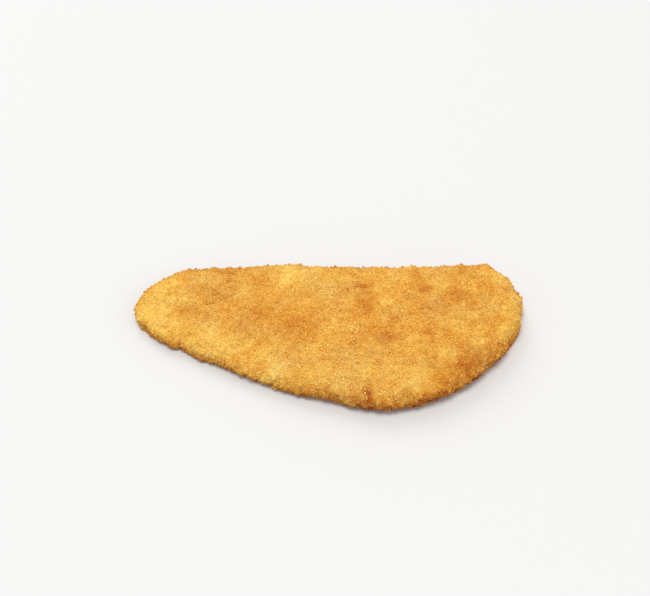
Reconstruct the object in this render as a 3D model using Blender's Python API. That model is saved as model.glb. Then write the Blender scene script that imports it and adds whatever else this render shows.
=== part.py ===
"""A breaded and fried fish fillet, whole and uncut, lying flat on its underside.

The crust wraps the fillet on every side and nothing of the flesh shows, so it is one solid in one
node. Units are metres and +Z is up. The thin tail points to -X, the thick head end to +X, the
straight back edge of the fish runs along +Y and the belly bulges to -Y. The origin is on the
surface that the fillet lies on, at the middle of the box that it fills.
"""

import bmesh
import bpy
import numpy as np

MM = 0.001

# Driving dimensions, in millimetres. These control points draw the outline as one smooth closed
# curve: the tail, the straight back edge, the blunt head end, then the bulging belly edge.
TAIL = [(-105.0, 7.0), (-103.0, 21.0), (-91.0, 33.0)]
BACK = [(-77.0, 43.0), (-46.0, 40.0), (-18.0, 44.0), (18.0, 39.0), (58.0, 39.0), (89.0, 44.0)]
HEAD = [(101.0, 29.0), (107.0, 12.0), (101.0, -11.0), (84.0, -31.0)]
BELLY = [(58.0, -50.0), (32.0, -58.0), (2.0, -50.0), (-32.0, -39.0), (-64.0, -20.0), (-93.0, -7.0)]

# Heights at even steps from the tail tip to the head tip. A rim height is that of the widest line
# round the side.
CROWN_HEIGHTS = [8.0, 9.5, 11.5, 13.5, 15.0, 16.0, 17.0, 17.0, 16.5, 14.0]
BACK_RIM_HEIGHTS = [4.5, 4.5, 5.0, 5.5, 6.0, 6.5, 6.5, 6.5, 6.5, 6.5]
BELLY_RIM_HEIGHTS = [4.5, 4.0, 4.0, 4.5, 5.5, 6.5, 7.5, 8.0, 7.5, 6.5]

# Soft swellings and hollows of the flesh under the crust: x, y, reach and height.
SWELLINGS = [
    (-66.0, 24.0, 15.0, 1.0),
    (-40.0, 2.0, 18.0, 0.8),
    (-22.0, 30.0, 16.0, 1.3),
    (-4.0, 9.0, 15.0, -1.1),
    (18.0, 26.0, 13.0, -0.7),
    (14.0, -26.0, 20.0, 1.0),
    (38.0, 8.0, 14.0, -0.8),
    (62.0, 30.0, 14.0, 1.0),
    (56.0, -24.0, 18.0, 1.2),
    (84.0, 8.0, 14.0, 0.8),
]

SHOULDER_POWER = 4.5  # how square the top turns down into the side
UNDER_POWER = 9.0  # how square the side turns under
TOP_END_POWER = 12.0  # how quickly the top reaches its full height from either tip
UNDER_END_POWER = 30.0  # how quickly the underside reaches the ground from either tip
UNDER_DEPTH = 1.25  # over 1, so that the underside is cut off flat on the ground
TYPICAL_HALF_SECTION = (45.0, 9.0)  # half width and half thickness, which space the section's points

SECTIONS = 76  # from tip to tip
SECTION_POINTS = 52  # round each section
OUTLINE_STEPS = 2880  # fine steps that the outline is measured along
SECTION_STEPS = 1000  # fine steps over half a section

CRUST_COLOUR = (0.80, 0.40, 0.075, 1.0)
CRUST_ROUGHNESS = 0.55


def smooth_through(stations, along, closed):
    """A cubic B-spline: each value is a weighted mean of the four nearest stations.

    along counts in stations. A closed row of stations starts again after its last one, and an
    open one stays at its end values.
    """
    first = np.floor(along).astype(int)
    part = along - first
    weights = [
        (1 - part) ** 3,
        3 * part**3 - 6 * part**2 + 4,
        -3 * part**3 + 3 * part**2 + 3 * part + 1,
        part**3,
    ]
    last = len(stations) - 1
    total = np.zeros((len(along), stations.shape[1]))
    for step, weight in enumerate(weights):
        index = first + step - 1
        index = index % (last + 1) if closed else np.clip(index, 0, last)
        total += weight[:, None] * stations[index] / 6
    return total


def at_shares(points, shares):
    """Points at these shares, 0 to 1, of the length of a line through many points."""
    steps = np.linalg.norm(np.diff(points, axis=0), axis=1)
    travelled = np.concatenate([[0.0], np.cumsum(steps)])
    wanted = shares * travelled[-1]
    return np.column_stack([np.interp(wanted, travelled, column) for column in points.T])


def edge_rails(shares):
    """The belly edge and the back edge, seen from above, both from the tail tip to the head tip.

    Also the middle of the outline's box, which is subtracted to centre the fillet.
    """
    control_points = np.array(TAIL + BACK + HEAD + BELLY)
    along = np.arange(OUTLINE_STEPS) / OUTLINE_STEPS * len(control_points)
    outline = smooth_through(control_points, along, closed=True)
    middle = (outline.min(axis=0) + outline.max(axis=0)) / 2
    outline = np.roll(outline, -outline[:, 0].argmin(), axis=0)
    head_tip = outline[:, 0].argmax()
    back_edge = outline[: head_tip + 1] - middle
    belly_edge = np.vstack([outline[head_tip:], outline[:1]])[::-1] - middle
    return at_shares(belly_edge, shares), at_shares(back_edge, shares), middle


def section_shape(shares):
    """The section's squared oval: a side from 1 at the belly to -1 at the back, and a rise.

    It runs from the belly rim over the top, where the rise is 1, to the back rim and underneath,
    where it is -1. Rise and side are tied by side ** power + rise ** 2 = 1.
    """
    turn = np.linspace(0.0, np.pi, SECTION_STEPS)
    side = np.sign(np.cos(turn)) * np.sqrt(np.abs(np.cos(turn)))
    above = np.sqrt(np.clip(1 - np.abs(side) ** SHOULDER_POWER, 0, 1))
    below = -np.sqrt(np.clip(1 - np.abs(side) ** UNDER_POWER, 0, 1))
    whole = np.column_stack([np.append(side, side[-2::-1]), np.append(above, below[-2::-1])])
    half_section = np.array(TYPICAL_HALF_SECTION)
    return (at_shares(whole * half_section, shares) / half_section).T


def fillet_surface(length_share, section_share):
    """Points on the fillet, in metres, from a share of its length and a share round its section.

    The section is carried between the belly edge and the back edge. Its height above and below
    the rim shrinks to nothing at both tips, which closes the surface.
    """
    belly_edge, back_edge, middle = edge_rails(length_share)
    side, rise = section_shape(section_share)
    across = (1 - side) / 2
    place = belly_edge * (1 - across)[:, None] + back_edge * across[:, None]

    heights = np.column_stack([CROWN_HEIGHTS, BACK_RIM_HEIGHTS, BELLY_RIM_HEIGHTS])
    along = length_share * (len(heights) - 1)
    crown, back_rim, belly_rim = smooth_through(heights, along, closed=False).T
    rim = belly_rim * (1 - across) + back_rim * across
    for x, y, reach, height in SWELLINGS:
        distance = np.hypot(*(place + middle - (x, y)).T)
        crown = crown + height * np.exp(-((distance / reach) ** 2))

    from_middle = np.abs(2 * length_share - 1)
    above = (crown - rim) * np.clip(rise, 0, 1) * (1 - from_middle**TOP_END_POWER)
    below = UNDER_DEPTH * rim * np.clip(rise, -1, 0) * (1 - from_middle**UNDER_END_POWER)
    height = np.maximum(rim + above + below, 0)
    return np.column_stack([place, height]) * MM


def crust_material():
    """Golden breadcrumb crust."""
    material = bpy.data.materials.new("golden_crust")
    material.use_nodes = True
    shader = material.node_tree.nodes["Principled BSDF"]
    shader.inputs["Base Color"].default_value = CRUST_COLOUR
    shader.inputs["Roughness"].default_value = CRUST_ROUGHNESS
    shader.inputs["Metallic"].default_value = 0.0
    return material


def make_fillet(collection):
    """A sphere whose poles become the fillet's tips and whose rings become its sections."""
    shape = bmesh.new()
    bmesh.ops.create_uvsphere(shape, u_segments=SECTION_POINTS, v_segments=SECTIONS, radius=1.0)
    sphere = np.array([vertex.co for vertex in shape.verts])
    length_share = np.arccos(np.clip(-sphere[:, 2], -1, 1)) / np.pi
    section_share = np.arctan2(sphere[:, 1], sphere[:, 0]) / (2 * np.pi) % 1
    for vertex, point in zip(shape.verts, fillet_surface(length_share, section_share)):
        vertex.co = point
    bmesh.ops.recalc_face_normals(shape, faces=shape.faces)
    mesh = bpy.data.meshes.new("fillet")
    shape.to_mesh(mesh)
    shape.free()
    mesh.shade_smooth()
    mesh.materials.append(crust_material())
    collection.objects.link(bpy.data.objects.new("fillet", mesh))


def main():
    for scene_object in list(bpy.data.objects):
        bpy.data.objects.remove(scene_object, do_unlink=True)
    collection = bpy.data.collections.new("fried_fish_fillet")
    bpy.context.scene.collection.children.link(collection)
    make_fillet(collection)


main()
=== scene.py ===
# %% [markdown]
# # A breaded and fried fish fillet
# The real thing is a whole fish fillet, dipped in flour, egg and fine breadcrumbs and fried golden.
# What we see of it is only crust: a lumpy coat a millimetre or two thick, made of crumbs of a few
# sizes, each browned a little differently by the oil. The lesson builds it in that order: the
# fillet's smooth form, the breading's relief and browning on it, then the crumbs one kind at a
# time as real meshes, and last the finish and the light that tie them together.

import bpy
import numpy as np
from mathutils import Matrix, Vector


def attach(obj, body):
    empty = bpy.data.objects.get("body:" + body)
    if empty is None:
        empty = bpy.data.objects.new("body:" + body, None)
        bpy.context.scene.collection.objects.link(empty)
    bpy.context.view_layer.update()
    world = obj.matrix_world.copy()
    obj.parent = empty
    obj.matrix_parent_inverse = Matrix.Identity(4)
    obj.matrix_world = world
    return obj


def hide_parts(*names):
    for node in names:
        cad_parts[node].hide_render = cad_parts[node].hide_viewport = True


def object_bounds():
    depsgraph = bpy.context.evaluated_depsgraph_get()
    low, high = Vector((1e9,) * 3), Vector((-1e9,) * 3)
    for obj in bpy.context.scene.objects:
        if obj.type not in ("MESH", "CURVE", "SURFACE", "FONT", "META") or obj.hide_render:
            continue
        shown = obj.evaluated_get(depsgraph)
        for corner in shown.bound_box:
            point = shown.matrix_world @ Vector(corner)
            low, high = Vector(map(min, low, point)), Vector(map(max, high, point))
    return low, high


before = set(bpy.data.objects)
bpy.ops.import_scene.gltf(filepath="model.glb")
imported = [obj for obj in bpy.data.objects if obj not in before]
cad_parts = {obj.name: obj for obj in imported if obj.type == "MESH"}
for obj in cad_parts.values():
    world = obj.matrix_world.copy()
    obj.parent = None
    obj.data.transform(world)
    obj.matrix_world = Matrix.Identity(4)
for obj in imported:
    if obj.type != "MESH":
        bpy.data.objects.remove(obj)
frame_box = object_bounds()
MM = 0.001

# %% [markdown]
# ## The outline
# A fish fillet seen from above is a leaf with one straight side, where it was cut along the back,
# and one bulging side, the belly. It could be drawn with a curve object, but a formula is easier to
# reuse for every crumb that has to sit on it. A cubic B-spline is such a formula: each point is a
# weighted mean of the four nearest control points, so it is smooth wherever they are put.

# %% The outline's control points and the spline
TAIL = [(-105.0, 7.0), (-103.0, 21.0), (-91.0, 33.0)]
BACK = [(-77.0, 43.0), (-46.0, 40.0), (-18.0, 44.0), (18.0, 39.0), (58.0, 39.0), (89.0, 44.0)]
HEAD = [(101.0, 29.0), (107.0, 12.0), (101.0, -11.0), (84.0, -31.0)]
BELLY = [(58.0, -50.0), (32.0, -58.0), (2.0, -50.0), (-32.0, -39.0), (-64.0, -20.0), (-93.0, -7.0)]


def smooth_through(stations, along, closed):
    """Cubic B-spline: the weighted mean of the four stations nearest to along, counted in stations."""
    first = np.floor(along).astype(int)
    part = along - first
    weights = [
        (1 - part) ** 3,
        3 * part**3 - 6 * part**2 + 4,
        -3 * part**3 + 3 * part**2 + 3 * part + 1,
        part**3,
    ]
    last = len(stations) - 1
    total = np.zeros((len(along), stations.shape[1]))
    for step, weight in enumerate(weights):
        index = first + step - 1
        index = index % (last + 1) if closed else np.clip(index, 0, last)
        total += weight[:, None] * stations[index] / 6
    return total


def at_shares(points, shares):
    """Points at these shares, 0 to 1, of the length of a line through many points."""
    steps = np.linalg.norm(np.diff(points, axis=0), axis=1)
    travelled = np.concatenate([[0.0], np.cumsum(steps)])
    wanted = shares * travelled[-1]
    return np.column_stack([np.interp(wanted, travelled, column) for column in points.T])


OUTLINE_STEPS = 2880
control_points = np.array(TAIL + BACK + HEAD + BELLY)
turn_of_outline = np.arange(OUTLINE_STEPS) / OUTLINE_STEPS * len(control_points)
outline = smooth_through(control_points, turn_of_outline, closed=True)
outline_middle = (outline.min(axis=0) + outline.max(axis=0)) / 2
outline = np.roll(outline, -outline[:, 0].argmin(), axis=0)
head_tip = outline[:, 0].argmax()
back_line = outline[: head_tip + 1] - outline_middle
belly_line = np.vstack([outline[head_tip:], outline[:1]])[::-1] - outline_middle
print("outline", np.ptp(outline, axis=0).round(1), "mm")

# %% [markdown]
# ## The section
# Cut across, the fillet is a squared oval: nearly flat on top, rounded at the shoulders, and flat
# where it lies. A box with a bevel would give hard lines along it. A superellipse, side to a power
# plus rise squared equals one, gives the soft shoulder of a piece of fish, and its power says how
# square it is. Points are spaced evenly by length, so the mesh has no thin faces at the rim.

# %% The squared oval
SHOULDER_POWER = 4.5
UNDER_POWER = 9.0
TYPICAL_HALF_SECTION = np.array([45.0, 9.0])
SECTION_STEPS = 1000


def squared_oval():
    """Half turn over the top and half turn below: side is 1 at the belly rim, rise is 1 on top."""
    turn = np.linspace(0.0, np.pi, SECTION_STEPS)
    side = np.sign(np.cos(turn)) * np.sqrt(np.abs(np.cos(turn)))
    above = np.sqrt(np.clip(1 - np.abs(side) ** SHOULDER_POWER, 0, 1))
    below = -np.sqrt(np.clip(1 - np.abs(side) ** UNDER_POWER, 0, 1))
    return np.column_stack([np.append(side, side[-2::-1]), np.append(above, below[-2::-1])])


section_line = squared_oval() * TYPICAL_HALF_SECTION
print("section drawn with", len(section_line), "points")

# %% [markdown]
# ## The fillet's form
# The section is carried from the tail tip to the head tip between the belly edge and the back edge.
# Three heights change on the way: the crown, and the rim on either side. The flesh also has soft
# swellings and hollows, each a bell curve. Both tips close because the height above the rim
# shrinks to nothing there.

# %% Heights, swellings and the surface as a function of two shares
CROWN_HEIGHTS = [8.0, 9.5, 11.5, 13.5, 15.0, 16.0, 17.0, 17.0, 16.5, 14.0]
BACK_RIM_HEIGHTS = [4.5, 4.5, 5.0, 5.5, 6.0, 6.5, 6.5, 6.5, 6.5, 6.5]
BELLY_RIM_HEIGHTS = [4.5, 4.0, 4.0, 4.5, 5.5, 6.5, 7.5, 8.0, 7.5, 6.5]
SWELLINGS = [
    (-66.0, 24.0, 15.0, 1.0),
    (-40.0, 2.0, 18.0, 0.8),
    (-22.0, 30.0, 16.0, 1.3),
    (-4.0, 9.0, 15.0, -1.1),
    (18.0, 26.0, 13.0, -0.7),
    (14.0, -26.0, 20.0, 1.0),
    (38.0, 8.0, 14.0, -0.8),
    (62.0, 30.0, 14.0, 1.0),
    (56.0, -24.0, 18.0, 1.2),
    (84.0, 8.0, 14.0, 0.8),
]
TOP_END_POWER = 12.0
UNDER_END_POWER = 30.0
UNDER_DEPTH = 1.25


def bells(points, rows):
    """The sum of bell curves: height times exp of minus the squared distance over the reach.

    A row is a centre in the plane or in space, then the reach and the height.
    """
    total = np.zeros(len(points))
    for *centre, reach, height in rows:
        distance = np.linalg.norm(points[:, : len(centre)] - centre, axis=1)
        total += height * np.exp(-((distance / reach) ** 2))
    return total


def fillet_form(length_share, section_share):
    """Points in millimetres on the smooth fillet, for shares of its length and round its section.

    Place is a straight mix of the belly and back edges; height is the rim plus the oval's rise
    times the crown's height over the rim, times an end factor that is nothing at the tips.
    """
    belly_edge = at_shares(belly_line, length_share)
    back_edge = at_shares(back_line, length_share)
    side, rise = (at_shares(section_line, section_share) / TYPICAL_HALF_SECTION).T
    across = (1 - side) / 2
    place = belly_edge * (1 - across)[:, None] + back_edge * across[:, None]
    heights = np.column_stack([CROWN_HEIGHTS, BACK_RIM_HEIGHTS, BELLY_RIM_HEIGHTS])
    along = length_share * (len(heights) - 1)
    crown, back_rim, belly_rim = smooth_through(heights, along, closed=False).T
    rim = belly_rim * (1 - across) + back_rim * across
    crown = crown + bells(place + outline_middle, SWELLINGS)
    from_middle = np.abs(2 * length_share - 1)
    above = (crown - rim) * np.clip(rise, 0, 1) * (1 - from_middle**TOP_END_POWER)
    below = UNDER_DEPTH * rim * np.clip(rise, -1, 0) * (1 - from_middle**UNDER_END_POWER)
    return np.column_stack([place, np.maximum(rim + above + below, 0)])


shares = np.random.default_rng(1).random((2, 20000))
form_size = np.ptp(fillet_form(*shares), axis=0)
frame_size = (np.array(frame_box[1]) - np.array(frame_box[0])) / MM
print("form", form_size.round(1), "mm, frame", frame_size.round(1), "mm")

# %% [markdown]
# ## Noise worked out by hand
# Breading isn't regular, so the relief and the browning need noise with a size in millimetres. A
# noise texture could displace the mesh, but then nothing else could ask how high the crust is at
# one spot. Two numpy functions do it: soft noise mixes random numbers at the corners of a lattice,
# and pebbles measures how far each point is from the nearest of many scattered centres.

# %% Soft noise and pebbles
CORNERS = np.array([(i, j, k) for i in (0, 1) for j in (0, 1) for k in (0, 1)])
NEIGHBOURS = np.array([(i, j, k) for i in (-1, 0, 1) for j in (-1, 0, 1) for k in (-1, 0, 1)])
HASH_STEPS = np.array([73856093, 19349663, 83492791], dtype=np.uint64)
HASH_MIX = np.uint64(2654435761)
HASH_BITS = np.uint64(0xFFFFFFFF)


def dice(cells, seed):
    """A repeatable number from 0 to 1 for each lattice cell, scrambled from its whole coordinates."""
    mixed = (cells.astype(np.int64).astype(np.uint64) * HASH_STEPS).sum(axis=-1)
    mixed = (mixed + np.uint64(seed) * HASH_MIX) & HASH_BITS
    for shift in (15, 13, 16):
        mixed = ((mixed ^ (mixed >> np.uint64(shift))) * HASH_MIX) & HASH_BITS
    return mixed / 2.0**32


def soft_noise(points, size, seed):
    """Noise from -1 to 1 with bumps of this size: eight corner numbers, mixed by a smooth step."""
    place = points / size
    low = np.floor(place).astype(int)
    step = place - low
    step = step * step * (3 - 2 * step)
    total = np.zeros(len(points))
    for corner in CORNERS:
        weight = np.prod(np.where(corner == 1, step, 1 - step), axis=1)
        total += weight * dice(low + corner, seed)
    return 2 * total - 1


def pebbles(points, size, seed):
    """How near each point is to the nearest scattered centre: 1 on a centre, 0 a size away."""
    place = points / size
    low = np.floor(place).astype(int)
    nearest = np.full(len(points), 9.0)
    for offset in NEIGHBOURS:
        cell = low + offset
        centre = cell + np.column_stack([dice(cell, seed + axis) for axis in range(3)])
        nearest = np.minimum(nearest, ((place - centre) ** 2).sum(axis=1))
    return np.clip(1 - np.sqrt(nearest), 0, 1)


noise_sample = soft_noise(fillet_form(*shares), 5.0, 1)
print("soft noise from", noise_sample.min().round(2), "to", noise_sample.max().round(2))

# %% [markdown]
# ## The breading's relief
# Close up, the coat is lumpy on three scales: broad lumps where it went on thick, clumps of crumbs
# two or three millimetres wide, and the single crumbs. The relief is pushed out along the form's
# own normal. Round the rim the clumps stand further out, and a few named bumps and notches give
# the outline its own irregular line. It all fades where the fillet lies, pressed flat.

# %% Relief and the crusted surface
BROAD_LUMPS = [(11.0, 0.5, 11), (5.5, 0.4, 12)]
CLUMP_SIZE, CLUMP_HEIGHT = 3.4, 0.75
CRUMB_SIZE, CRUMB_HEIGHT = 1.5, 0.4
RAGGED = [(4.2, 1.5, 51), (2.4, 0.9, 52)]
SUNK_RELIEF = 0.35
OUTLINE_BUMPS = [
    (-84.0, -6.0, 3.5, 1.6),
    (-79.0, -7.5, 2.0, -0.8),
    (-69.0, -15.0, 5.0, 1.2),
    (-63.0, -17.5, 2.5, 0.8),
    (-102.0, 18.0, 6.0, -0.8),
    (-99.0, 6.0, 5.0, -1.8),
    (-84.0, 38.0, 7.0, -1.0),
    (-90.0, 30.0, 5.0, -0.6),
    (-104.0, 8.0, 4.0, 0.7),
    (-77.0, 43.0, 3.0, 0.7),
    (-70.0, 43.0, 4.5, -2.2),
    (-4.0, 44.0, 9.0, -1.4),
    (4.0, -43.0, 8.0, -0.8),
    (41.0, -47.0, 7.0, -1.0),
    (59.0, 42.0, 8.0, -1.0),
    (87.0, 45.0, 3.0, 1.0),
    (93.0, 42.0, 5.5, -2.4),
    (101.0, 30.0, 4.5, -1.1),
    (105.0, 22.0, 3.0, 0.9),
    (104.0, 13.0, 5.0, -1.2),
    (99.0, -6.0, 9.0, -1.7),
    (85.0, -23.0, 6.0, -1.0),
]
CLUMP_LEVEL, RAGGED_LEVEL = 0.5, 0.4  # what is taken off a pebble's height to centre it
RIM_STARTS, RIM_SPAN = 0.95, 0.4  # upward share of the normal where the rim starts, and its fade
UNDERSIDE_FADE = 1.5
NUDGE = 0.002
TIP_MARGIN = 0.004  # shares of the length at the tips where the normal is read a little inside


def breading_relief(points, normals):
    """Millimetres of crust over the smooth form: soft noise at two sizes plus pebbles at two.

    Where the surface leans over, rim goes from 0 to 1 and brings in the ragged clumps and bumps.
    """
    relief = np.full(len(points), -SUNK_RELIEF)
    for size, height, seed in BROAD_LUMPS:
        relief += height * soft_noise(points, size, seed)
    relief += CLUMP_HEIGHT * (pebbles(points, CLUMP_SIZE, 21) - CLUMP_LEVEL)
    relief += CRUMB_HEIGHT * (pebbles(points, CRUMB_SIZE, 31) - CLUMP_LEVEL)
    rim = np.clip((RIM_STARTS - normals[:, 2]) / RIM_SPAN, 0, 1)
    edge = bells(points, OUTLINE_BUMPS)
    for size, height, seed in RAGGED:
        edge += height * (pebbles(points, size, seed) - RAGGED_LEVEL)
    return relief + rim * edge


def outward(length_share, section_share):
    """The form's normals, from the cross product of two short steps on it."""
    ahead = np.clip(length_share + NUDGE, NUDGE, 1 - NUDGE)
    behind = np.clip(length_share - NUDGE, NUDGE, 1 - NUDGE)
    lengthwise = fillet_form(ahead, section_share) - fillet_form(behind, section_share)
    around = fillet_form(length_share, (section_share + NUDGE) % 1) - fillet_form(
        length_share, (section_share - NUDGE) % 1
    )
    normal = np.cross(lengthwise, around)
    size = np.linalg.norm(normal, axis=1, keepdims=True)
    return normal / np.maximum(size, 1e-9)


def crusted(length_share, section_share):
    """Points on the breaded surface, their normals and their relief, all in millimetres."""
    inside = np.clip(length_share, TIP_MARGIN, 1 - TIP_MARGIN)
    form = fillet_form(length_share, section_share)
    normal = outward(inside, section_share)
    relief = breading_relief(form, normal)
    lying = np.clip(form[:, 2] / UNDERSIDE_FADE, 0, 1)
    points = form + normal * (relief * lying)[:, None]
    points[:, 2] = np.maximum(points[:, 2], 0)
    return points, normal, relief


crust_points, crust_normals, crust_relief = crusted(*shares)
print("relief from", crust_relief.min().round(2), "to", crust_relief.max().round(2), "mm")
print("share of normals that point up", (crust_normals[:, 2] > 0).mean().round(2))

# %% [markdown]
# ## Browning, with painted shade
# Hot oil browns a crust unevenly, and the thin rim more than the rest. The rim that leans over and
# the crust near the table are made browner still, partly for that and partly as painted shade. One
# number per point from 0, pale straw, to 1, dark brown, is enough to drive every colour. It could be
# painted by hand, but patches in millimetres are easy to move and work for crumbs as well. Some
# patches are real toasting and paleness, others painted shade and painted light. A row is a place,
# then its reach and how much browner, or paler, it is. Soft noise in three sizes breaks the patches
# up.

# %% Toasted and pale patches, some of them painted shade and painted light
# real toasting mixed with painted shade: some patches darken the belly, the rim and the head end where
# shade fell
TOASTED_AND_SHADED = [
    (-58.0, 22.0, 6.0, 0.17),
    (-70.0, 27.0, 4.5, 0.07),
    (-55.0, 41.5, 4.5, 0.17),
    (-54.0, 9.0, 5.0, 0.08),
    (-77.0, 13.0, 4.0, 0.10),
    (-42.0, 13.0, 8.0, 0.07),
    (-34.0, 5.0, 7.0, 0.10),
    (-46.0, -1.0, 5.0, 0.10),
    (-20.0, 1.0, 6.0, 0.20),
    (-12.0, -7.0, 7.0, 0.15),
    (-10.0, 9.0, 7.0, 0.14),
    (-34.0, 26.0, 6.0, 0.08),
    (19.0, 25.0, 4.5, 0.38),
    (19.0, 14.0, 4.5, 0.32),
    (10.0, 22.0, 4.0, 0.10),
    (30.0, -10.0, 5.0, 0.30),
    (23.0, -2.0, 4.5, 0.12),
    (36.0, 2.0, 5.0, 0.14),
    (46.0, 36.0, 5.0, 0.14),
    (52.5, 24.0, 3.5, 0.36),
    (49.0, 14.0, 5.5, 0.14),
    (68.0, 18.0, 8.0, 0.18),
    (64.0, -12.0, 5.0, 0.18),
    (86.0, 23.0, 5.0, 0.14),
    (87.0, -10.0, 4.5, 0.12),
    (-83.0, 15.0, 5.0, 0.13),
    (52.0, -8.0, 5.0, 0.28),
    (72.0, -27.0, 8.0, 0.27),
    (58.0, -34.0, 5.0, 0.20),
    (66.0, -29.0, 4.0, 0.12),
    (20.5, -46.0, 10.5, 5.0, 0.40),
    (22.0, -46.0, 5.0, 4.5, 0.16),
    (47.0, -47.0, 5.0, 6.0, 0.38),
    (59.0, -44.0, 8.0, 7.0, 0.30),
    (-67.0, -15.5, 4.5, 5.5, 0.36),
    (-84.0, -5.5, 3.5, 4.0, 0.38),
    (24.0, -29.0, 5.0, 0.04),
    (7.0, -24.0, 5.0, 0.06),
    (74.0, 36.0, 4.0, 0.09),
    (76.0, -3.0, 3.5, 0.09),
    (-19.0, -41.0, 3.0, 5.5, 0.26),
    (-10.0, -41.0, 6.0, 4.0, 0.20),
    (-2.0, -43.0, 7.0, 4.5, 0.26),
    (31.0, -50.0, 5.0, 6.0, 0.28),
    (-92.0, -2.0, 2.5, 4.5, 0.28),
    (-99.0, 7.0, 6.0, 4.0, 0.18),
    (91.0, 42.0, 12.0, 3.0, 0.35),
    (104.0, 25.0, 9.0, 3.5, 0.35),
    (93.0, -13.0, 7.0, 3.0, 0.14),
    (84.0, -20.0, 12.0, 6.0, 0.12),
    (82.0, 41.0, 4.0, 0.12),
    (25.0, 19.0, 3.5, 0.10),
    (20.0, 7.0, 4.0, 0.08),
]
# real paleness mixed with painted light: some patches lighten the tail and the head end's side where
# more light fell
PALE_AND_LIT = [
    (-95.0, 13.0, 13.0, -0.29),
    (-87.0, 32.0, 9.0, -0.17),
    (-76.0, -4.0, 8.0, -0.12),
    (-60.0, -9.0, 9.5, -0.22),
    (-19.0, 35.0, 12.0, -0.22),
    (-29.0, -22.0, 8.0, -0.18),
    (-33.0, -32.0, 7.0, -0.12),
    (-2.0, -36.0, 8.0, -0.17),
    (-48.0, -11.0, 7.0, -0.20),
    (-78.0, 5.0, 5.0, -0.12),
    (95.0, -5.0, 10.0, 7.0, -0.22),
    (46.0, -40.0, 7.0, -0.16),
    (36.0, 35.0, 5.0, -0.10),
    (14.0, 18.0, 4.0, -0.14),
    (97.0, 18.0, 11.0, -0.10),
    (91.0, 32.0, 7.0, -0.14),
    (62.0, -23.0, 5.5, -0.22),
    (31.0, 14.0, 6.0, -0.14),
    (101.0, 6.0, 9.0, 8.0, -0.14),
    (103.0, 17.0, 8.0, 3.5, -0.20),
    (8.0, -40.0, 11.0, 4.0, -0.15),
    (65.0, 23.0, 4.0, -0.08),
    (-66.0, 13.0, 4.0, -0.07),
    (80.0, -13.0, 3.5, -0.12),
    (48.0, -14.0, 4.0, -0.06),
    (15.0, -36.0, 5.0, -0.06),
    (-16.0, -32.0, 7.0, -0.06),
]
MEAN_BROWNING = 0.40
PATCH_WANDER, WANDER_SIZE = 2.2, 5.0
STREAK_TURN, STREAK_STRETCH = np.radians(48.0), 3
STREAK_SIZE, STREAK_BROWNING = 4.5, 0.05
MOTTLING = [(8.0, 0.04, 41), (3.0, 0.08, 42)]
# painted shade in part: how much browner the crust gets where it leans over and near the table
OVERHANG_STARTS, OVERHANG_SPAN, OVERHANG_BROWNING_AND_SHADE = 0.30, 0.8, 0.17
LOW_HEIGHT, LOW_BROWNING_AND_SHADE = 6.0, 0.12


def browning_and_shade(points, normals):
    """From 0, pale, to 1, dark: patches, soft noise in three sizes, and the rim that leans over and
    the crust near the table, both made browner partly as painted shade.

    The patches are looked up at places that wander by a few millimetres, so their edges are ragged.
    """
    place = points[:, :2]
    wander = np.column_stack([soft_noise(points, WANDER_SIZE, seed) for seed in (44, 45, 46)])
    value = MEAN_BROWNING + bells(points + PATCH_WANDER * wander, TOASTED_AND_SHADED + PALE_AND_LIT)
    streak = points.copy()
    along = place[:, 0] * np.cos(STREAK_TURN) + place[:, 1] * np.sin(STREAK_TURN)
    streak[:, 0] = along / STREAK_STRETCH
    streak[:, 1] = place[:, 1] * np.cos(STREAK_TURN) - place[:, 0] * np.sin(STREAK_TURN)
    value += STREAK_BROWNING * soft_noise(streak, STREAK_SIZE, 43)
    for size, amount, seed in MOTTLING:
        value += amount * soft_noise(points, size, seed)
    # painted shade, with real browning of the thin rim: crust that leans over and crust near the table
    # made browner
    value += OVERHANG_BROWNING_AND_SHADE * np.clip((OVERHANG_STARTS - normals[:, 2]) / OVERHANG_SPAN, 0, 1)
    value += LOW_BROWNING_AND_SHADE * np.clip(1 - points[:, 2] / LOW_HEIGHT, 0, 1)
    return np.clip(value, 0, 1)


print("browning mean", browning_and_shade(crust_points, crust_normals).mean().round(2))

# %% [markdown]
# ## Meshes from grids
# The crust and every crumb are the same kind of surface: a ball-like grid with rows from one pole
# to the other. So one helper lists the faces: a fan at each pole and two triangles for each cell
# between. It also gives each corner its place on a flat map, which the finish can be baked onto.
# A face's corners run anticlockwise seen from outside, so that it points outwards. The look hardly
# shows it when they don't, but the volume does: it comes out below zero, so it is printed.


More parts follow.
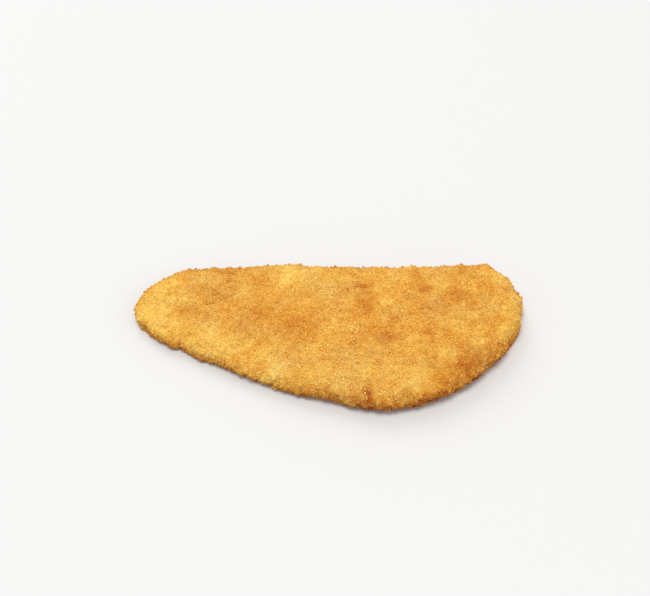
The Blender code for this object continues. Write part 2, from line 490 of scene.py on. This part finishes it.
# %% Faces and map corners of a ball-like grid
def ball_faces(rows, columns):
    """Triangles over a pole, rows times columns points and the other pole, and their map corners."""
    row, column = np.meshgrid(np.arange(rows - 1), np.arange(columns), indexing="ij")
    row, column = row.ravel(), column.ravel()
    after = (column + 1) % columns

    def point(r, c):
        return 1 + r * columns + c

    def on_map(r, c):
        return np.column_stack([c / columns, (r + 1) / (rows + 1) + 0 * c])

    a, b = point(row, column), point(row, after)
    c, d = point(row + 1, after), point(row + 1, column)
    map_a, map_b = on_map(row, column), on_map(row, column + 1)
    map_c, map_d = on_map(row + 1, column + 1), on_map(row + 1, column)
    edge = np.arange(columns)
    beside = (edge + 1) % columns
    last = rows * columns + 1
    first_fan = np.column_stack([np.zeros(columns, int), point(0, edge), point(0, beside)])
    last_fan = np.column_stack(
        [np.full(columns, last), point(rows - 1, beside), point(rows - 1, edge)]
    )
    faces = np.vstack(
        [first_fan, np.column_stack([a, d, c]), np.column_stack([a, c, b]), last_fan]
    )
    first_map = [on_map(-1, edge + 0.5), on_map(0, edge), on_map(0, edge + 1)]
    last_map = [on_map(rows, edge + 0.5), on_map(rows - 1, edge + 1), on_map(rows - 1, edge)]
    corners = np.vstack(
        [
            np.stack(first_map, axis=1),
            np.stack([map_a, map_d, map_c], axis=1),
            np.stack([map_a, map_c, map_b], axis=1),
            np.stack(last_map, axis=1),
        ]
    )
    return faces, corners


MM_IN_CM = 0.1


def add_piece(name, points, faces, corners, numbers):
    """A mesh object from arrays, in metres, with its flat map and its named numbers per point."""
    mesh = bpy.data.meshes.new(name)
    mesh.from_pydata(points * MM, [], faces)
    flat_map = mesh.uv_layers.new(name="OFBake")
    flat_map.uv.foreach_set("vector", corners.astype(np.float32).ravel())
    for label, values in numbers.items():
        layer = mesh.attributes.new(label, "FLOAT", "POINT")
        layer.data.foreach_set("value", values.astype(np.float32))
    piece = bpy.data.objects.new(name, mesh)
    bpy.context.scene.collection.objects.link(piece)
    a, b, c = np.moveaxis(points[faces] * MM_IN_CM, 1, 0)
    volume = (a * np.cross(b, c)).sum() / 6
    print(name, "holds", volume.round(2), "cubic centimetres, above zero if its faces point out")
    return piece


# %% [markdown]
# ## The crust
# The grid has about half a millimetre between points on the top and sides, enough for the clumps,
# and less underneath, where the surface is flat. A share round the section is therefore looked up
# from a running total of how many points each part deserves.

# %% The crust as one closed surface
CRUST_ROWS, CRUST_COLUMNS = 340, 292
UNDERSIDE_SHARES = (0.54, 0.96)
UNDERSIDE_DENSITY = 0.3
SHARE_STEPS = 4001

fine_share = np.linspace(0, 1, SHARE_STEPS)
under = (fine_share > UNDERSIDE_SHARES[0]) & (fine_share < UNDERSIDE_SHARES[1])
density = np.where(under, UNDERSIDE_DENSITY, 1.0)
running = np.concatenate([[0.0], np.cumsum(density[1:])])
column_share = np.interp(np.arange(CRUST_COLUMNS) / CRUST_COLUMNS * running[-1], running, fine_share)
row_share = np.arange(CRUST_ROWS + 2) / (CRUST_ROWS + 1)
grid_length = np.concatenate([[0.0], np.repeat(row_share[1:-1], CRUST_COLUMNS), [1.0]])
grid_section = np.concatenate([[0.0], np.tile(column_share, CRUST_ROWS), [0.0]])
points, normals, relief = crusted(grid_length, grid_section)
faces, corners = ball_faces(CRUST_ROWS, CRUST_COLUMNS)
crust = add_piece(
    "crust", points, faces, corners, {"browning_and_shade": browning_and_shade(points, normals), "relief": relief}
)
crust.data.shade_smooth()
print("crust", len(faces), "triangles")

# %% [markdown]
# ## Where crumbs stick
# Crumbs cover the fillet fairly evenly but never in rows. Sunflower seeds solve the same problem:
# each next seed turns by the golden ratio. Here the running total of area picks the place along the
# fillet and the golden ratio the place round it. A random nudge then hides the spiral. Round a
# section the spread goes by length as the oval has it, so tips get a little more than side walls.

# %% Even, irregular spots on the surface
GOLDEN = (5**0.5 - 1) / 2
AREA_ROWS, AREA_COLUMNS = 401, 201
SPOT_NUDGE = 0.5
SPOT_MARGIN = 0.0005
LIFTED_HEIGHT = 0.9


def running_area():
    """The share of the surface's area before each of many sections, from each section's length."""
    rows = np.linspace(0, 1, AREA_ROWS)
    around = np.linspace(0, 1, AREA_COLUMNS)
    grid = fillet_form(np.repeat(rows, AREA_COLUMNS), np.tile(around, AREA_ROWS))
    grid = grid.reshape(AREA_ROWS, AREA_COLUMNS, 3)
    girth = np.linalg.norm(np.diff(grid, axis=1), axis=2).sum(axis=1)
    total = np.concatenate([[0.0], np.cumsum((girth[1:] + girth[:-1]) / 2)])
    return rows, total / total[-1]


area_rows, area_total = running_area()


def crumb_spots(count, seed):
    """Shares of length and section for about count spots, evenly spread, off the flat underside."""
    random = np.random.default_rng(seed)
    order = np.arange(count)
    spacing = 1 / np.sqrt(count)
    along = (order + 0.5) / count + SPOT_NUDGE * spacing * random.uniform(-1, 1, count)
    along = np.clip(along, SPOT_MARGIN, 1 - SPOT_MARGIN)
    length_share = np.interp(along, area_total, area_rows)
    section_share = (order * GOLDEN + SPOT_NUDGE * spacing * random.uniform(-1, 1, count)) % 1
    lifted = fillet_form(length_share, section_share)[:, 2] > LIFTED_HEIGHT
    return length_share[lifted], section_share[lifted], random


print("spots kept of 10000:", len(crumb_spots(10000, 5)[0]))

# %% [markdown]
# ## One crumb
# A breadcrumb is an angular bit of dry bread, longer than wide and wider than thick. It starts as
# a ball of two poles with rings of points between them. One ring of five gives ten triangles,
# enough for the finest; two rings of five give twenty, as an icosahedron has; three rings of six
# give thirty-six for the large ones. Each gets its own axes, leaning a little off the surface.


# %% A crumb's ball and its own axes
CRUMB_LEAN = 0.45


def crumb_ball(rings, ring_points):
    """A ball's corners: a pole, rings that each start half a step further round, and a pole."""
    ring = np.repeat(np.arange(rings), ring_points)
    from_pole = (ring + 1) / (rings + 1) * np.pi
    angle = (np.tile(np.arange(ring_points), rings) + 0.5 * ring) / ring_points * 2 * np.pi
    ball = np.column_stack(
        [np.sin(from_pole) * np.cos(angle), np.sin(from_pole) * np.sin(angle), np.cos(from_pole)]
    )
    return np.vstack([[0, 0, 1.0], ball, [0, 0, -1.0]])


def crumb_axes(normal, random):
    """Side, across and up for each crumb: up leans off the normal and side turns at random."""
    side = np.cross(normal, random.normal(size=normal.shape))
    side /= np.linalg.norm(side, axis=1, keepdims=True)
    lean = random.normal(0, CRUMB_LEAN, (len(normal), 1))
    up = normal * np.cos(lean) + side * np.sin(lean)
    side = np.cross(up, np.cross(side, up))
    side /= np.linalg.norm(side, axis=1, keepdims=True)
    return side, np.cross(up, side), up


print("a small crumb has", len(crumb_ball(1, 5)), "corners, a large one", len(crumb_ball(3, 6)))

# %% [markdown]
# ## Many crumbs in one mesh
# All crumbs of a kind are one mesh, built as whole arrays: the ball times random radii, stretched,
# turned and sunk partly into the crust. A bent surface can leave a crumb in the air, so each is
# pressed down until its lowest corner is in the crust. Each also gets its own shade. That may be
# much paler than the crust round it but only a little darker, or the coat looks peppered.


# %% Build all crumbs of one kind
CORNER_RADII = (0.62, 1.18)
SMALL_ONES = 1.6  # a power over 1, so that most crumbs of a kind are among its smaller ones
WIDTH_SHARE = (0.6, 0.95)
THICKNESS_SHARE = (0.4, 0.8)
SUNK_SPREAD = (0.6, 1.4)
ROOTED = 0.1
OFF_THE_TABLE = 0.02
SHADE_SPREAD = 0.13
DARKEST_SHADE = 0.5  # in spreads
MAP_MARGIN = 0.04


def crumb_piece(name, spots, rings, ring_points, sizes, sunk, tone):
    """One mesh of many crumbs: ball points times random radii, stretched, tilted and placed.

    A crumb's place is its spot plus the normal times half its thickness, less what is sunk. tone
    is added to the local browning, and a bell-shaped random shade, cut on its dark side, to both.
    """
    length_share, section_share, random = spots
    count = len(length_share)
    place, normal, relief = crusted(length_share, section_share)
    side, across, up = crumb_axes(normal, random)

    ball = crumb_ball(rings, ring_points)
    radius = random.uniform(*CORNER_RADII, (count, len(ball), 1))
    low, high = sizes
    longest = low + (high - low) * random.random(count) ** SMALL_ONES
    width = longest * random.uniform(*WIDTH_SHARE, count)
    thickness = longest * random.uniform(*THICKNESS_SHARE, count)
    local = ball[None] * radius * np.column_stack([longest, width, thickness])[:, None, :] / 2
    lift = thickness * (0.5 - sunk * random.uniform(*SUNK_SPREAD, count))
    centre = place + normal * lift[:, None]
    points = (
        centre[:, None]
        + local[..., :1] * side[:, None]
        + local[..., 1:2] * across[:, None]
        + local[..., 2:] * up[:, None]
    )

    over_crust = ((points - place[:, None]) * normal[:, None]).sum(axis=2)
    gap = np.maximum(over_crust.min(axis=1) + ROOTED, 0)
    points -= (normal * gap[:, None])[:, None]
    over_crust -= gap[:, None]
    points[..., 2] = np.maximum(points[..., 2], OFF_THE_TABLE)
    print(name, (gap > 0).sum(), "pressed down, the furthest by", gap.max().round(2), "mm")

    one_faces, one_corners = ball_faces(rings, ring_points)
    faces = (one_faces[None] + (np.arange(count) * len(ball))[:, None, None]).reshape(-1, 3)
    cells = int(np.ceil(np.sqrt(count)))
    cell = np.column_stack([np.arange(count) % cells, np.arange(count) // cells])
    in_cell = MAP_MARGIN + (1 - 2 * MAP_MARGIN) * one_corners
    corners = (cell[:, None, None] + in_cell[None]) / cells
    own_shade = SHADE_SPREAD * np.minimum(random.normal(size=count), DARKEST_SHADE)
    shade = np.clip(browning_and_shade(place, normal) + tone + own_shade, 0, 1)
    numbers = {
        "browning_and_shade": np.repeat(shade, len(ball)),
        "relief": (relief[:, None] + over_crust).ravel(),
    }
    piece = add_piece(name, points.reshape(-1, 3), faces, corners.reshape(-1, 2), numbers)
    print(name, count, "crumbs,", len(faces), "triangles")
    return piece


# %% [markdown]
# ## Seven kinds of crumbs
# The breading is mostly fine crumb, with medium and coarse ones between. Some have browned more and
# many have stayed pale. Large ones stand up round the rim, which makes the outline ragged. Low on
# the belly side, where oil ran down and gathered, crumbs shine; they are kept by chance, more of
# them near three places. Every kind has its own seed, so one can be changed without the others.


# %% Rim spots, oily spots and the seven kinds
RIM_LEAN = 0.75
OIL_GATHERED = [(-8.0, -33.0, 16.0, 0.30), (14.0, -38.0, 20.0, 0.55), (85.0, -17.0, 10.0, 0.35)]


def rim_only(spots):
    """Keeps the spots where the surface leans over, which is the rim all round."""
    length_share, section_share, random = spots
    inside = np.clip(length_share, TIP_MARGIN, 1 - TIP_MARGIN)
    leaning = outward(inside, section_share)[:, 2] < RIM_LEAN
    return length_share[leaning], section_share[leaning], random


def oily_only(spots):
    """Keeps more of the spots the nearer they are to where the oil has gathered: bells of chance."""
    length_share, section_share, random = spots
    chance = bells(fillet_form(length_share, section_share), OIL_GATHERED)
    kept = random.random(len(chance)) < chance
    return length_share[kept], section_share[kept], random


# name, spots, rings, points in a ring, smallest and largest size, sunk share, tone, seed
KINDS = [
    ("crumbs_fine", 34000, 1, 5, (0.5, 0.85), 0.3, 0.0, 102),
    ("crumbs_medium", 17000, 2, 5, (0.7, 1.15), 0.4, 0.0, 101),
    ("crumbs_coarse", 9400, 3, 6, (1.1, 1.8), 0.5, 0.02, 103),
    ("crumbs_toasted", 3000, 2, 5, (0.5, 1.2), 0.35, 0.13, 104),
    ("crumbs_pale", 10000, 2, 5, (0.5, 1.1), 0.15, -0.31, 105),
]
crumb_pieces = [
    crumb_piece(name, crumb_spots(count, seed), rings, ring_points, sizes, sunk, tone)
    for name, count, rings, ring_points, sizes, sunk, tone, seed in KINDS
]
rim_spots = rim_only(crumb_spots(9000, 106))
crumb_pieces.append(crumb_piece("crumbs_rim", rim_spots, 3, 6, (0.8, 2.0), 0.05, 0.06))
oily_spots = oily_only(crumb_spots(24000, 107))
crumb_pieces.append(crumb_piece("crumbs_oily", oily_spots, 2, 5, (0.7, 1.3), 0.15, -0.14))

# %% [markdown]
# ## The crust's finish
# Browning picks the colour from a ramp, pale straw to dark brown. Two noises vary it: a blotch and,
# within a crumb, a speckle that may only lighten, since dark specks look like pepper. What lies
# deep in the relief is a little browner, partly for oil soaked there and partly as painted shade in
# the hollows. A weak, broad tint makes some areas duller and less saturated, and a fine bump breaks
# up the highlights. Crust and crumbs share this finish, so they read as one coat; the
# oily crumbs have a smoother, shinier one of their own.

# %% Colours, roughness and bump
BROWNING_COLOURS = [
    (0.00, (0.86, 0.59, 0.155)),
    (0.22, (0.75, 0.47, 0.086)),
    (0.45, (0.645, 0.308, 0.042)),
    (0.65, (0.54, 0.203, 0.019)),
    (0.85, (0.42, 0.108, 0.010)),
    (1.00, (0.25, 0.046, 0.008)),
]
# A noise's scale counts its bumps in a metre, and its detail how many finer layers lie on it.
SPECKLE_NOISE, SPECKLE_CUT, SPECKLE_AMOUNT = (1900, 3), 0.52, 1.2
BLOTCH_NOISE, BLOTCH_AMOUNT = (260, 2), 0.22
# painted shade in part: how much browner deep relief is, for shade in the hollows and oil soaked there
RELIEF_BROWNING_AND_SHADE = -0.10
LEVEL_CENTRE = 0.664  # about what speckle and blotch add on average
# a broad tint that makes some areas duller and less saturated
DULL_NOISE, DULL_STARTS, DULL_FULL = (60, 3), 0.42, 0.66
DULL_TINT = (0.955, 1.015, 1.30, 1.0)
ROUGHNESS_SPREAD = 0.16
BUMP_NOISE, BUMP_DISTANCE = (2600, 2), 0.0002
SUBSURFACE_WEIGHT, SUBSURFACE_DEPTH = 0.2, 0.0006
SUBSURFACE_COLOURS = (1.0, 0.7, 0.4)
MIX_FACTOR, MIX_FIRST, MIX_SECOND, MIX_RESULT = 0, 6, 7, 2  # a colour Mix node's sockets


def crust_finish(name, roughness, shine, bump_strength):
    """A Principled finish that reads the browning number, object-space noises and the relief."""
    material = bpy.data.materials.new(name)
    material.use_nodes = True
    nodes, links = material.node_tree.nodes, material.node_tree.links
    shader = nodes["Principled BSDF"]

    def add(kind, **settings):
        node = nodes.new(kind)
        for key, value in settings.items():
            setattr(node, key, value)
        return node

    def sum_of(first, second, factor):
        """first + second * factor, as one multiply-add node."""
        node = add("ShaderNodeMath", operation="MULTIPLY_ADD")
        links.new(second, node.inputs[0])
        node.inputs[1].default_value = factor
        links.new(first, node.inputs[2])
        return node.outputs[0]

    def noise(scale, detail):
        node = add("ShaderNodeTexNoise")
        node.inputs["Scale"].default_value = scale
        node.inputs["Detail"].default_value = detail
        links.new(place.outputs["Object"], node.inputs["Vector"])
        return node.outputs["Fac"]

    place = add("ShaderNodeTexCoord")
    brown_and_shade = add("ShaderNodeAttribute", attribute_name="browning_and_shade").outputs["Fac"]
    relief_number = add("ShaderNodeAttribute", attribute_name="relief").outputs["Fac"]
    speckle = noise(*SPECKLE_NOISE)
    blotch = noise(*BLOTCH_NOISE)
    lighter = add("ShaderNodeMath", operation="MINIMUM")
    links.new(speckle, lighter.inputs[0])
    lighter.inputs[1].default_value = SPECKLE_CUT
    level = sum_of(brown_and_shade, lighter.outputs[0], SPECKLE_AMOUNT)
    level = sum_of(level, blotch, BLOTCH_AMOUNT)
    # painted shade in part: deeper relief is made browner, as shade in the hollows and oil soaked
    # there
    level = sum_of(level, relief_number, RELIEF_BROWNING_AND_SHADE)
    centred = add("ShaderNodeMath", operation="SUBTRACT")
    links.new(level, centred.inputs[0])
    centred.inputs[1].default_value = LEVEL_CENTRE
    ramp = add("ShaderNodeValToRGB")
    for position, colour in BROWNING_COLOURS[1:-1]:
        ramp.color_ramp.elements.new(position)
    for element, (position, colour) in zip(ramp.color_ramp.elements, BROWNING_COLOURS):
        element.position = position
        element.color = (*colour, 1.0)
    links.new(centred.outputs[0], ramp.inputs["Fac"])
    duller = add("ShaderNodeMapRange")
    duller.inputs["From Min"].default_value = DULL_STARTS
    duller.inputs["From Max"].default_value = DULL_FULL
    links.new(noise(*DULL_NOISE), duller.inputs["Value"])
    tinted = add("ShaderNodeMix", data_type="RGBA", blend_type="MULTIPLY")
    amount, fried, tint = [tinted.inputs[n] for n in (MIX_FACTOR, MIX_FIRST, MIX_SECOND)]
    links.new(duller.outputs["Result"], amount)
    links.new(ramp.outputs["Color"], fried)
    tint.default_value = DULL_TINT
    links.new(tinted.outputs[MIX_RESULT], shader.inputs["Base Color"])
    shader.inputs["Subsurface Weight"].default_value = SUBSURFACE_WEIGHT
    shader.inputs["Subsurface Radius"].default_value = SUBSURFACE_COLOURS
    shader.inputs["Subsurface Scale"].default_value = SUBSURFACE_DEPTH
    shader.inputs["Specular IOR Level"].default_value = shine

    rough = add("ShaderNodeMapRange")
    rough.inputs["To Min"].default_value = roughness - ROUGHNESS_SPREAD
    rough.inputs["To Max"].default_value = roughness + ROUGHNESS_SPREAD
    links.new(speckle, rough.inputs["Value"])
    links.new(rough.outputs["Result"], shader.inputs["Roughness"])
    bump = add("ShaderNodeBump")
    bump.inputs["Strength"].default_value = bump_strength
    bump.inputs["Distance"].default_value = BUMP_DISTANCE
    links.new(noise(*BUMP_NOISE), bump.inputs["Height"])
    links.new(bump.outputs["Normal"], shader.inputs["Normal"])
    return material


crust_material = crust_finish("fried_crust", 0.5, 0.1, 0.6)
crumb_material = crust_finish("fried_crumbs", 0.5, 0.1, 0.5)
oily_material = crust_finish("oily_crumbs", 0.22, 1.0, 0.1)
crust.data.materials.append(crust_material)
for piece in crumb_pieces:
    oily = piece.name == "crumbs_oily"
    piece.data.materials.append(oily_material if oily else crumb_material)
print("finishes", crust_material.name, crumb_material.name, oily_material.name)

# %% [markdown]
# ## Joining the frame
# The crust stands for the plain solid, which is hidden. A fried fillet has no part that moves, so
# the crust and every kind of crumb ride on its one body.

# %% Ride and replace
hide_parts("fillet")
for piece in [crust, *crumb_pieces]:
    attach(piece, "root")
print(1 + len(crumb_pieces), "pieces ride on the root")

# %% [markdown]
# ## The table
# A plain pale table, large enough for its edge to stay far off, and matt, so that it shows only the
# fillet's soft shadow. It belongs to the stage and not to the fillet.

# %% Floor
FLOOR_HALF = 4.0
FLOOR_COLOUR = (0.60, 0.60, 0.60, 1)
FLOOR_ROUGHNESS = 0.6
floor_corners = np.array([(-1, -1, 0), (1, -1, 0), (1, 1, 0), (-1, 1, 0)]) * FLOOR_HALF
floor_mesh = bpy.data.meshes.new("table")
floor_mesh.from_pydata(floor_corners.tolist(), [], [(0, 1, 2, 3)])
floor = bpy.data.objects.new("table", floor_mesh)
bpy.context.scene.collection.objects.link(floor)
floor_material = bpy.data.materials.new("table_white")
floor_material.use_nodes = True
floor_shader = floor_material.node_tree.nodes["Principled BSDF"]
floor_shader.inputs["Base Color"].default_value = FLOOR_COLOUR
floor_shader.inputs["Roughness"].default_value = FLOOR_ROUGHNESS
floor_mesh.materials.append(floor_material)
print("table", 2 * FLOOR_HALF, "metres wide")

# %% [markdown]
# ## The light
# Food is lit softly. A wide light overhead does most. A weaker one behind on the left brightens the
# back edge, and a low weak one on the right, a little in front, keeps the head end from going dull.
# A bright room fills the shadows. Lamps at a place would fall off across the fillet; sun lamps with
# a wide disc light it evenly and still give soft shadows.


# %% Three soft lights and a bright room
LAMP_COLOUR = (1.0, 0.99, 0.97)
ROOM_STRENGTH = 0.71


def soft_light(name, place, angle, strength):
    """A sun lamp whose wide disc, angle degrees across, gives soft shadows and even light."""
    light = bpy.data.lights.new(name, "SUN")
    light.angle = np.radians(angle)
    light.energy = strength
    light.color = LAMP_COLOUR
    lamp = bpy.data.objects.new(name, light)
    lamp.rotation_euler = (-Vector(place)).to_track_quat("-Z", "Y").to_euler()
    bpy.context.scene.collection.objects.link(lamp)


soft_light("overhead", (-0.10, -0.12, 1.1), 26.0, 1.93)
soft_light("back_window", (-0.4, 1.0, 0.8), 35.0, 0.8)
soft_light("right_window", (1.0, -0.35, 0.4), 40.0, 0.5)
world = bpy.data.worlds.new("room")
world.use_nodes = True
world.node_tree.nodes["Background"].inputs["Color"].default_value = (1, 1, 1, 1)
world.node_tree.nodes["Background"].inputs["Strength"].default_value = ROOM_STRENGTH
bpy.context.scene.world = world
bpy.context.scene.view_settings.view_transform = "Standard"

# %% [markdown]
# ## The camera
# It looks down at the fillet at fifty degrees. A long lens from nearly a metre away keeps the near
# belly edge and the far back edge at much the same scale, so the form isn't distorted. The aim lies
# a little above and left of the fillet's middle, which leaves it low in the frame.

# %% Camera
CAMERA_ELEVATION = np.radians(50.0)
CAMERA_DISTANCE = 0.9
CAMERA_LENS, CAMERA_SENSOR = 93.4, 36.0
AIM_ABOVE, AIM_LEFT = 0.0261, 0.0018  # as shares of the distance
camera_data = bpy.data.cameras.new("camera")
camera_data.lens = CAMERA_LENS
camera_data.sensor_width = CAMERA_SENSOR
camera = bpy.data.objects.new("camera", camera_data)
camera_place = Vector((0.0, -np.cos(CAMERA_ELEVATION), np.sin(CAMERA_ELEVATION))) * CAMERA_DISTANCE
camera.location = camera_place
bpy.context.scene.collection.objects.link(camera)
bpy.context.scene.camera = camera
look = -camera_place.normalized()
right = look.cross(Vector((0, 0, 1))).normalized()
above = right.cross(look)
aim = look + above * AIM_ABOVE - right * AIM_LEFT
camera.rotation_euler = aim.to_track_quat("-Z", "Y").to_euler()
print("camera at", [round(number, 3) for number in camera_place])

# %% [markdown]
# ## Sizes and the end
# The box of the plain solid and the box of what is seen should differ only by the crumbs that
# stand out from the crust.

# %% Sizes
print("the fillet is built")
